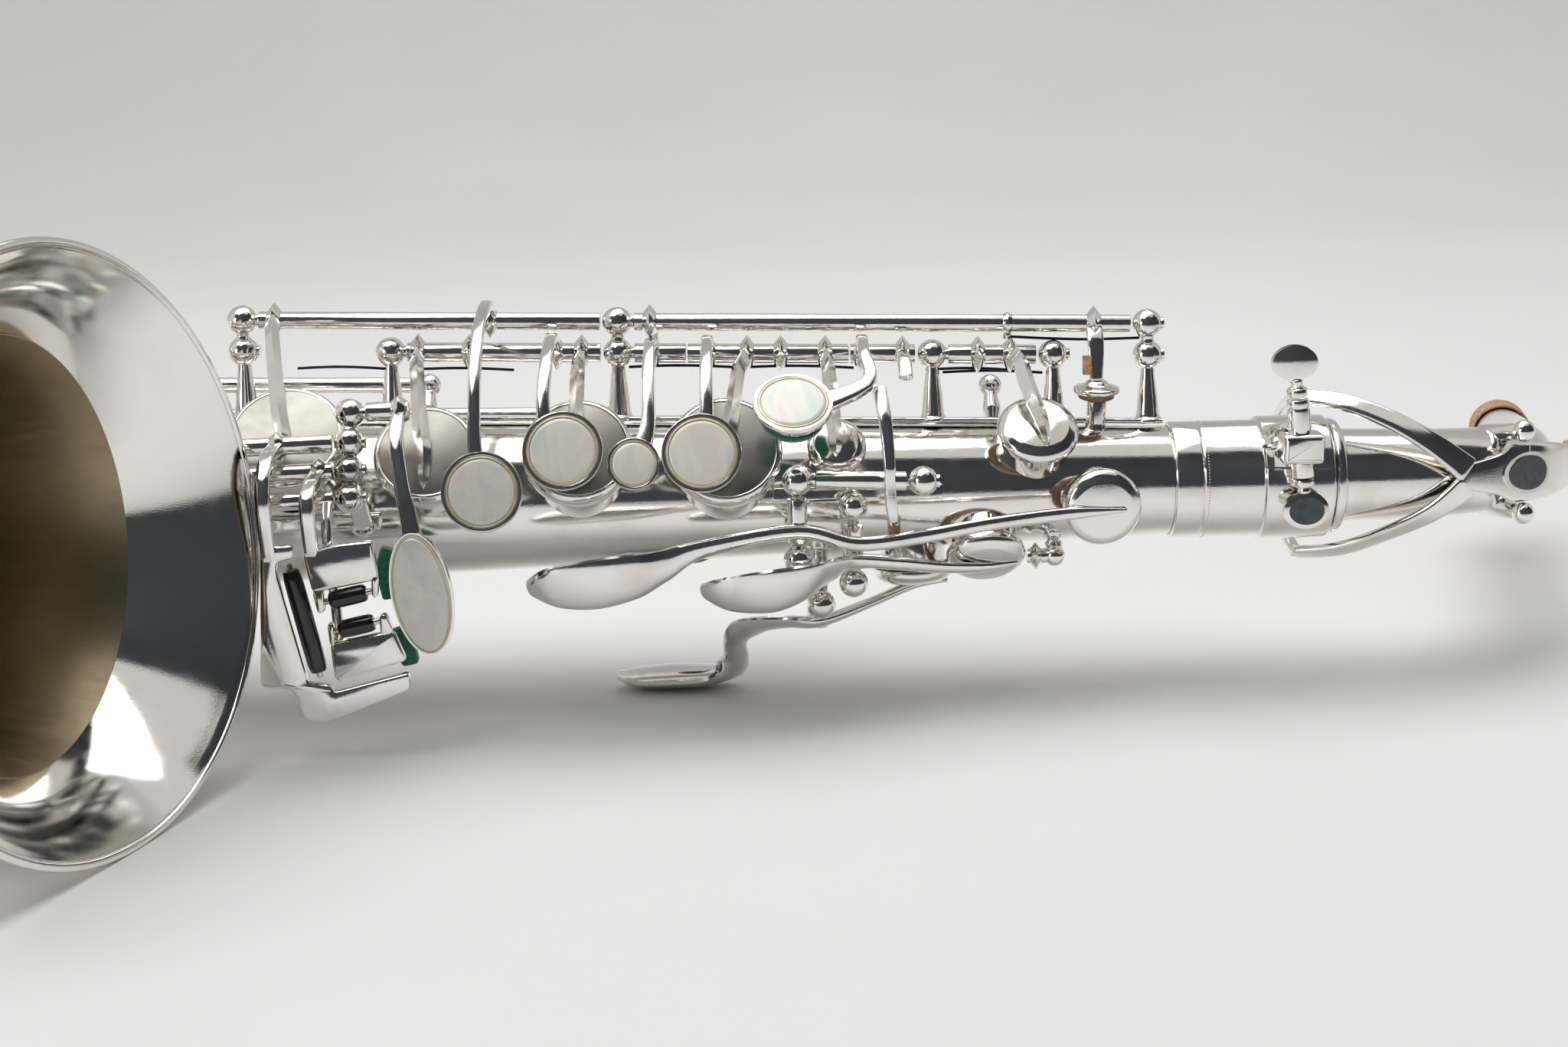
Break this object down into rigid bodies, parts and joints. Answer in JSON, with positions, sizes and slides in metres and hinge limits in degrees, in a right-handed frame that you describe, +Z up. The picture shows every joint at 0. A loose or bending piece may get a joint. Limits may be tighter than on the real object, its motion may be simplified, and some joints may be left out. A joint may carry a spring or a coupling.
{
  "type": "saxophone",
  "caption": "Silver-plated curved woodwind with a conical body, bow, flared bell, crooked neck and sprung keywork, lying on its side.",
  "frame": {"origin": "centre of the bounding box, at the bottom (the floor the instrument lies on)", "axes": "+X along the body tube towards the neck, +Z up, -Y towards the bell's side of the viewer"},
  "size_m": [0.6118, 0.271, 0.1205],
  "materials": {
    "silver_plate": "polished silver plate, slightly warm, lightly tarnished at the joints",
    "mother_of_pearl": "polished mother-of-pearl discs",
    "black_roller": "glossy black",
    "cork": "fine-grained cork sheet, matte"
  },
  "bodies": {
    "front_f_key": {"front_f_key": "silver_plate", "front_f_pearl": "mother_of_pearl"},
    "b_key": {"b_key": "silver_plate", "b_pearl": "mother_of_pearl"},
    "bis_key": {"bis_key": "silver_plate", "bis_pearl": "mother_of_pearl"},
    "c_key": {"c_key": "silver_plate", "c_pearl": "mother_of_pearl"},
    "g_key": {"g_key": "silver_plate", "g_pearl": "mother_of_pearl"},
    "g_sharp_lever": {"g_sharp_lever": "silver_plate", "g_sharp_pearl": "mother_of_pearl"},
    "g_sharp_key": {"g_sharp_key": "silver_plate"},
    "octave_thumb_lever": {"octave_thumb_lever": "silver_plate"},
    "neck_octave_key": {"neck_octave_key": "silver_plate"},
    "body_octave_key": {"body_octave_key": "silver_plate"},
    "side_high_e_lever": {"side_high_e_lever": "silver_plate"},
    "high_e_key": {"high_e_key": "silver_plate"},
    "side_b_flat_key": {"side_b_flat_key": "silver_plate"},
    "side_c_key": {"side_c_key": "silver_plate"},
    "palm_d_key": {"palm_d_key": "silver_plate"},
    "palm_e_flat_key": {"palm_e_flat_key": "silver_plate"},
    "palm_f_key": {"palm_f_key": "silver_plate"},
    "front_f_link": {"front_f_link": "silver_plate"},
    "low_b_flat_key": {"low_b_flat_key": "silver_plate"},
    "low_b_key": {"low_b_key": "silver_plate"},
    "low_c_sharp_lever": {"low_c_sharp_lever": "silver_plate"},
    "low_c_sharp_key": {"low_c_sharp_key": "silver_plate"},
    "f_key": {"f_key": "silver_plate", "f_pearl": "mother_of_pearl"},
    "f_sharp_key": {"f_sharp_key": "silver_plate"},
    "e_key": {"e_key": "silver_plate", "e_pearl": "mother_of_pearl"},
    "d_key": {"d_key": "silver_plate", "d_pearl": "mother_of_pearl"},
    "low_e_flat_key": {"low_e_flat_key": "silver_plate"},
    "low_c_key": {"low_c_key": "silver_plate"},
    "neck_tube": {"neck_tube": "silver_plate", "neck_cork": "cork"},
    "neck_screw": {"neck_screw": "silver_plate"},
    "lyre_screw": {"lyre_screw": "silver_plate"},
    "table_roller_long": {"table_roller_long": "black_roller"},
    "table_roller_upper": {"table_roller_upper": "black_roller"},
    "table_roller_lower": {"table_roller_lower": "black_roller"},
    "body": {"body_tube": "silver_plate", "bow": "silver_plate", "bell": "silver_plate", "bow_ring": "silver_plate", "upper_stack_rib": "silver_plate", "lower_stack_rib": "silver_plate", "side_key_rib": "silver_plate", "thumb_rest": "black_roller", "palm_key_posts": "silver_plate", "bell_key_rib": "silver_plate", "bell_key_guard": "silver_plate", "low_c_sharp_guard": "silver_plate", "bell_brace": "silver_plate", "strap_ring": "silver_plate", "thumb_hook": "silver_plate", "neck_receiver": "silver_plate"}
  },
  "joints": [
    {"name": "front_f_press", "type": "hinge", "parent": "body", "child": "front_f_key", "pos_m": [0.11765, 0.01909, 0.07847], "axis": [0.9996, -0.004, -0.0285], "range_deg": [0, 4], "stiffness_Nm_per_rad": 0.4, "springref_deg": -17.19},
    {"name": "b_press", "type": "hinge", "parent": "body", "child": "b_key", "pos_m": [0.09165, 0.01919, 0.07921], "axis": [0.9996, -0.004, -0.0285], "range_deg": [0, 4.2], "stiffness_Nm_per_rad": 0.4, "springref_deg": -17.19},
    {"name": "bis_press", "type": "hinge", "parent": "body", "child": "bis_key", "pos_m": [0.06565, 0.01929, 0.07995], "axis": [0.9996, -0.004, -0.0285], "range_deg": [0, 4.2], "stiffness_Nm_per_rad": 0.4, "springref_deg": -17.19},
    {"name": "c_press", "type": "hinge", "parent": "body", "child": "c_key", "pos_m": [0.03865, 0.0194, 0.08073], "axis": [0.9996, -0.004, -0.0285], "range_deg": [0, 4.2], "stiffness_Nm_per_rad": 0.4, "springref_deg": -17.19},
    {"name": "g_press", "type": "hinge", "parent": "body", "child": "g_key", "pos_m": [0.01165, 0.02051, 0.08862], "axis": [0.9996, -0.004, -0.0285], "range_deg": [0, 3.4], "stiffness_Nm_per_rad": 0.4, "springref_deg": -17.19},
    {"name": "g_sharp_press", "type": "hinge", "parent": "body", "child": "g_sharp_lever", "pos_m": [0.00665, -0.01123, 0.07368], "axis": [0.9996, 0, 0.027], "range_deg": [0, 7], "stiffness_Nm_per_rad": 0.4, "springref_deg": -17.19},
    {"name": "g_sharp_open", "type": "hinge", "parent": "body", "child": "g_sharp_key", "pos_m": [0.01565, 0.01949, 0.08138], "axis": [0.9996, -0.004, -0.0285], "range_deg": [-7, 0]},
    {"name": "octave_press", "type": "hinge", "parent": "body", "child": "octave_thumb_lever", "pos_m": [0.13565, 0.03578, 0.05459], "axis": [0.9996, -0.0274, -0.0089], "range_deg": [-10, 0], "stiffness_Nm_per_rad": 0.4, "springref_deg": 17.19},
    {"name": "neck_octave_open", "type": "hinge", "parent": "neck_tube", "child": "neck_octave_key", "pos_m": [0.26604, 0.01175, 0.04813], "axis": [0, -0.1219, -0.9925], "range_deg": [0, 4]},
    {"name": "body_octave_open", "type": "hinge", "parent": "body", "child": "body_octave_key", "pos_m": [0.11865, 0.02008, 0.08557], "axis": [0.9996, -0.004, -0.0285], "range_deg": [-5, 0], "stiffness_Nm_per_rad": 0.4, "springref_deg": 17.19},
    {"name": "side_high_e_press", "type": "hinge", "parent": "body", "child": "side_high_e_lever", "pos_m": [-0.05635, 0.03424, 0.07268], "axis": [0.9996, -0.0177, -0.0227], "range_deg": [0, 7], "stiffness_Nm_per_rad": 0.15, "springref_deg": -17.19},
    {"name": "high_e_open", "type": "hinge", "parent": "body", "child": "high_e_key", "pos_m": [0.14365, 0.01898, 0.07773], "axis": [0.9996, -0.004, -0.0285], "range_deg": [-7, 0]},
    {"name": "side_b_flat_press", "type": "hinge", "parent": "body", "child": "side_b_flat_key", "pos_m": [-0.03835, 0.03779, 0.06388], "axis": [0.9996, -0.0236, -0.0165], "range_deg": [0, 8], "stiffness_Nm_per_rad": 0.4, "springref_deg": -17.19},
    {"name": "side_c_press", "type": "hinge", "parent": "body", "child": "side_c_key", "pos_m": [-0.01835, 0.04628, 0.05923], "axis": [0.9996, -0.0271, -0.0098], "range_deg": [0, 8], "stiffness_Nm_per_rad": 0.4, "springref_deg": -17.19},
    {"name": "palm_d_press", "type": "hinge", "parent": "body", "child": "palm_d_key", "pos_m": [0.09665, -0.01395, 0.04726], "axis": [0, -0.0175, 0.9998], "range_deg": [-3.5, 0], "stiffness_Nm_per_rad": 0.4, "springref_deg": 17.19},
    {"name": "palm_e_flat_press", "type": "hinge", "parent": "body", "child": "palm_e_flat_key", "pos_m": [0.10915, -0.00826, 0.03983], "axis": [0, -0.3256, 0.9455], "range_deg": [-5, 0], "stiffness_Nm_per_rad": 0.4, "springref_deg": 17.19},
    {"name": "palm_f_press", "type": "hinge", "parent": "body", "child": "palm_f_key", "pos_m": [0.10165, 0.00315, 0.02165], "axis": [0, -0.9135, 0.4067], "range_deg": [-6, 0], "stiffness_Nm_per_rad": 1, "springref_deg": 28.65},
    {"name": "front_f_link_turn", "type": "hinge", "parent": "body", "child": "front_f_link", "pos_m": [0.11165, -0.01323, 0.05583], "axis": [0.9993, 0, -0.0362], "range_deg": [-4, 0]},
    {"name": "low_b_flat_press", "type": "hinge", "parent": "body", "child": "low_b_flat_key", "pos_m": [-0.11135, -0.01423, 0.06459], "axis": [0.9996, 0, 0.027], "range_deg": [0, 3.6], "stiffness_Nm_per_rad": 0.4, "springref_deg": -17.19},
    {"name": "low_b_press", "type": "hinge", "parent": "body", "child": "low_b_key", "pos_m": [-0.11135, -0.01773, 0.05279], "axis": [0.9996, 0, 0.027], "range_deg": [0, 4], "stiffness_Nm_per_rad": 0.4, "springref_deg": -17.19},
    {"name": "low_c_sharp_press", "type": "hinge", "parent": "body", "child": "low_c_sharp_lever", "pos_m": [-0.11135, -0.01623, 0.05869], "axis": [0.9996, 0, 0.027], "range_deg": [0, 5], "stiffness_Nm_per_rad": 0.4, "springref_deg": -17.19},
    {"name": "low_c_sharp_open", "type": "hinge", "parent": "body", "child": "low_c_sharp_key", "pos_m": [-0.20235, -0.01123, 0.02476], "axis": [1, 0, 0], "range_deg": [-6, 0]},
    {"name": "f_press", "type": "hinge", "parent": "body", "child": "f_key", "pos_m": [-0.09455, 0.01994, 0.08452], "axis": [0.9996, -0.004, -0.0285], "range_deg": [0, 5], "stiffness_Nm_per_rad": 0.4, "springref_deg": -17.19},
    {"name": "f_sharp_close", "type": "hinge", "parent": "body", "child": "f_sharp_key", "pos_m": [-0.06085, 0.0198, 0.08356], "axis": [0.9996, -0.004, -0.0285], "range_deg": [0, 5]},
    {"name": "e_press", "type": "hinge", "parent": "body", "child": "e_key", "pos_m": [-0.12365, 0.02005, 0.08535], "axis": [0.9996, -0.004, -0.0285], "range_deg": [0, 5], "stiffness_Nm_per_rad": 0.4, "springref_deg": -17.19},
    {"name": "d_press", "type": "hinge", "parent": "body", "child": "d_key", "pos_m": [-0.15935, 0.0202, 0.08637], "axis": [0.9996, -0.004, -0.0285], "range_deg": [0, 5], "stiffness_Nm_per_rad": 0.4, "springref_deg": -17.19},
    {"name": "low_e_flat_press", "type": "hinge", "parent": "body", "child": "low_e_flat_key", "pos_m": [-0.20035, 0.02929, 0.08371], "axis": [0.9996, -0.0108, -0.0267], "range_deg": [0, 8], "stiffness_Nm_per_rad": 0.4, "springref_deg": -17.19},
    {"name": "low_c_press", "type": "hinge", "parent": "body", "child": "low_c_key", "pos_m": [-0.21435, 0.02944, 0.08408], "axis": [0.9996, -0.0108, -0.0267], "range_deg": [0, 5], "stiffness_Nm_per_rad": 0.4, "springref_deg": -17.19},
    {"name": "neck_swivel", "type": "hinge", "parent": "body", "child": "neck_tube", "pos_m": [0.22365, 0.01477, 0.04776], "axis": [1, 0, 0], "range_deg": [-10, 10]},
    {"name": "neck_screw_turn", "type": "hinge", "parent": "body", "child": "neck_screw", "pos_m": [0.20826, -0.00423, 0.07816], "axis": [-0.1044, 0, 0.9945], "range_deg": [0, 180]},
    {"name": "lyre_screw_turn", "type": "hinge", "parent": "body", "child": "lyre_screw", "pos_m": [0.2118, -0.00423, 0.04436], "axis": [-0.1044, 0, 0.9945], "range_deg": [0, 180]},
    {"name": "roller_long_spin", "type": "hinge", "parent": "low_b_flat_key", "child": "table_roller_long", "pos_m": [-0.0105, -0.03083, 0.03186], "axis": [0.192, 0, -0.9814], "continuous": true},
    {"name": "roller_upper_spin", "type": "hinge", "parent": "low_c_sharp_lever", "child": "table_roller_upper", "pos_m": [-0.00075, -0.03083, 0.03711], "axis": [0.9782, 0, 0.2079], "continuous": true},
    {"name": "roller_lower_spin", "type": "hinge", "parent": "low_b_key", "child": "table_roller_lower", "pos_m": [0.00065, -0.03083, 0.03046], "axis": [0.9785, 0, 0.206], "continuous": true}
  ],
  "couplings": [
    {"joint": "g_sharp_open", "follows": "g_sharp_press", "ratio": -1},
    {"joint": "neck_octave_open", "follows": "octave_press", "ratio": -0.4},
    {"joint": "high_e_open", "follows": "side_high_e_press", "ratio": -1},
    {"joint": "front_f_link_turn", "follows": "front_f_press", "ratio": -1},
    {"joint": "low_c_sharp_open", "follows": "low_c_sharp_press", "ratio": -1.2},
    {"joint": "f_sharp_close", "follows": "f_press", "ratio": 1}
  ]
}
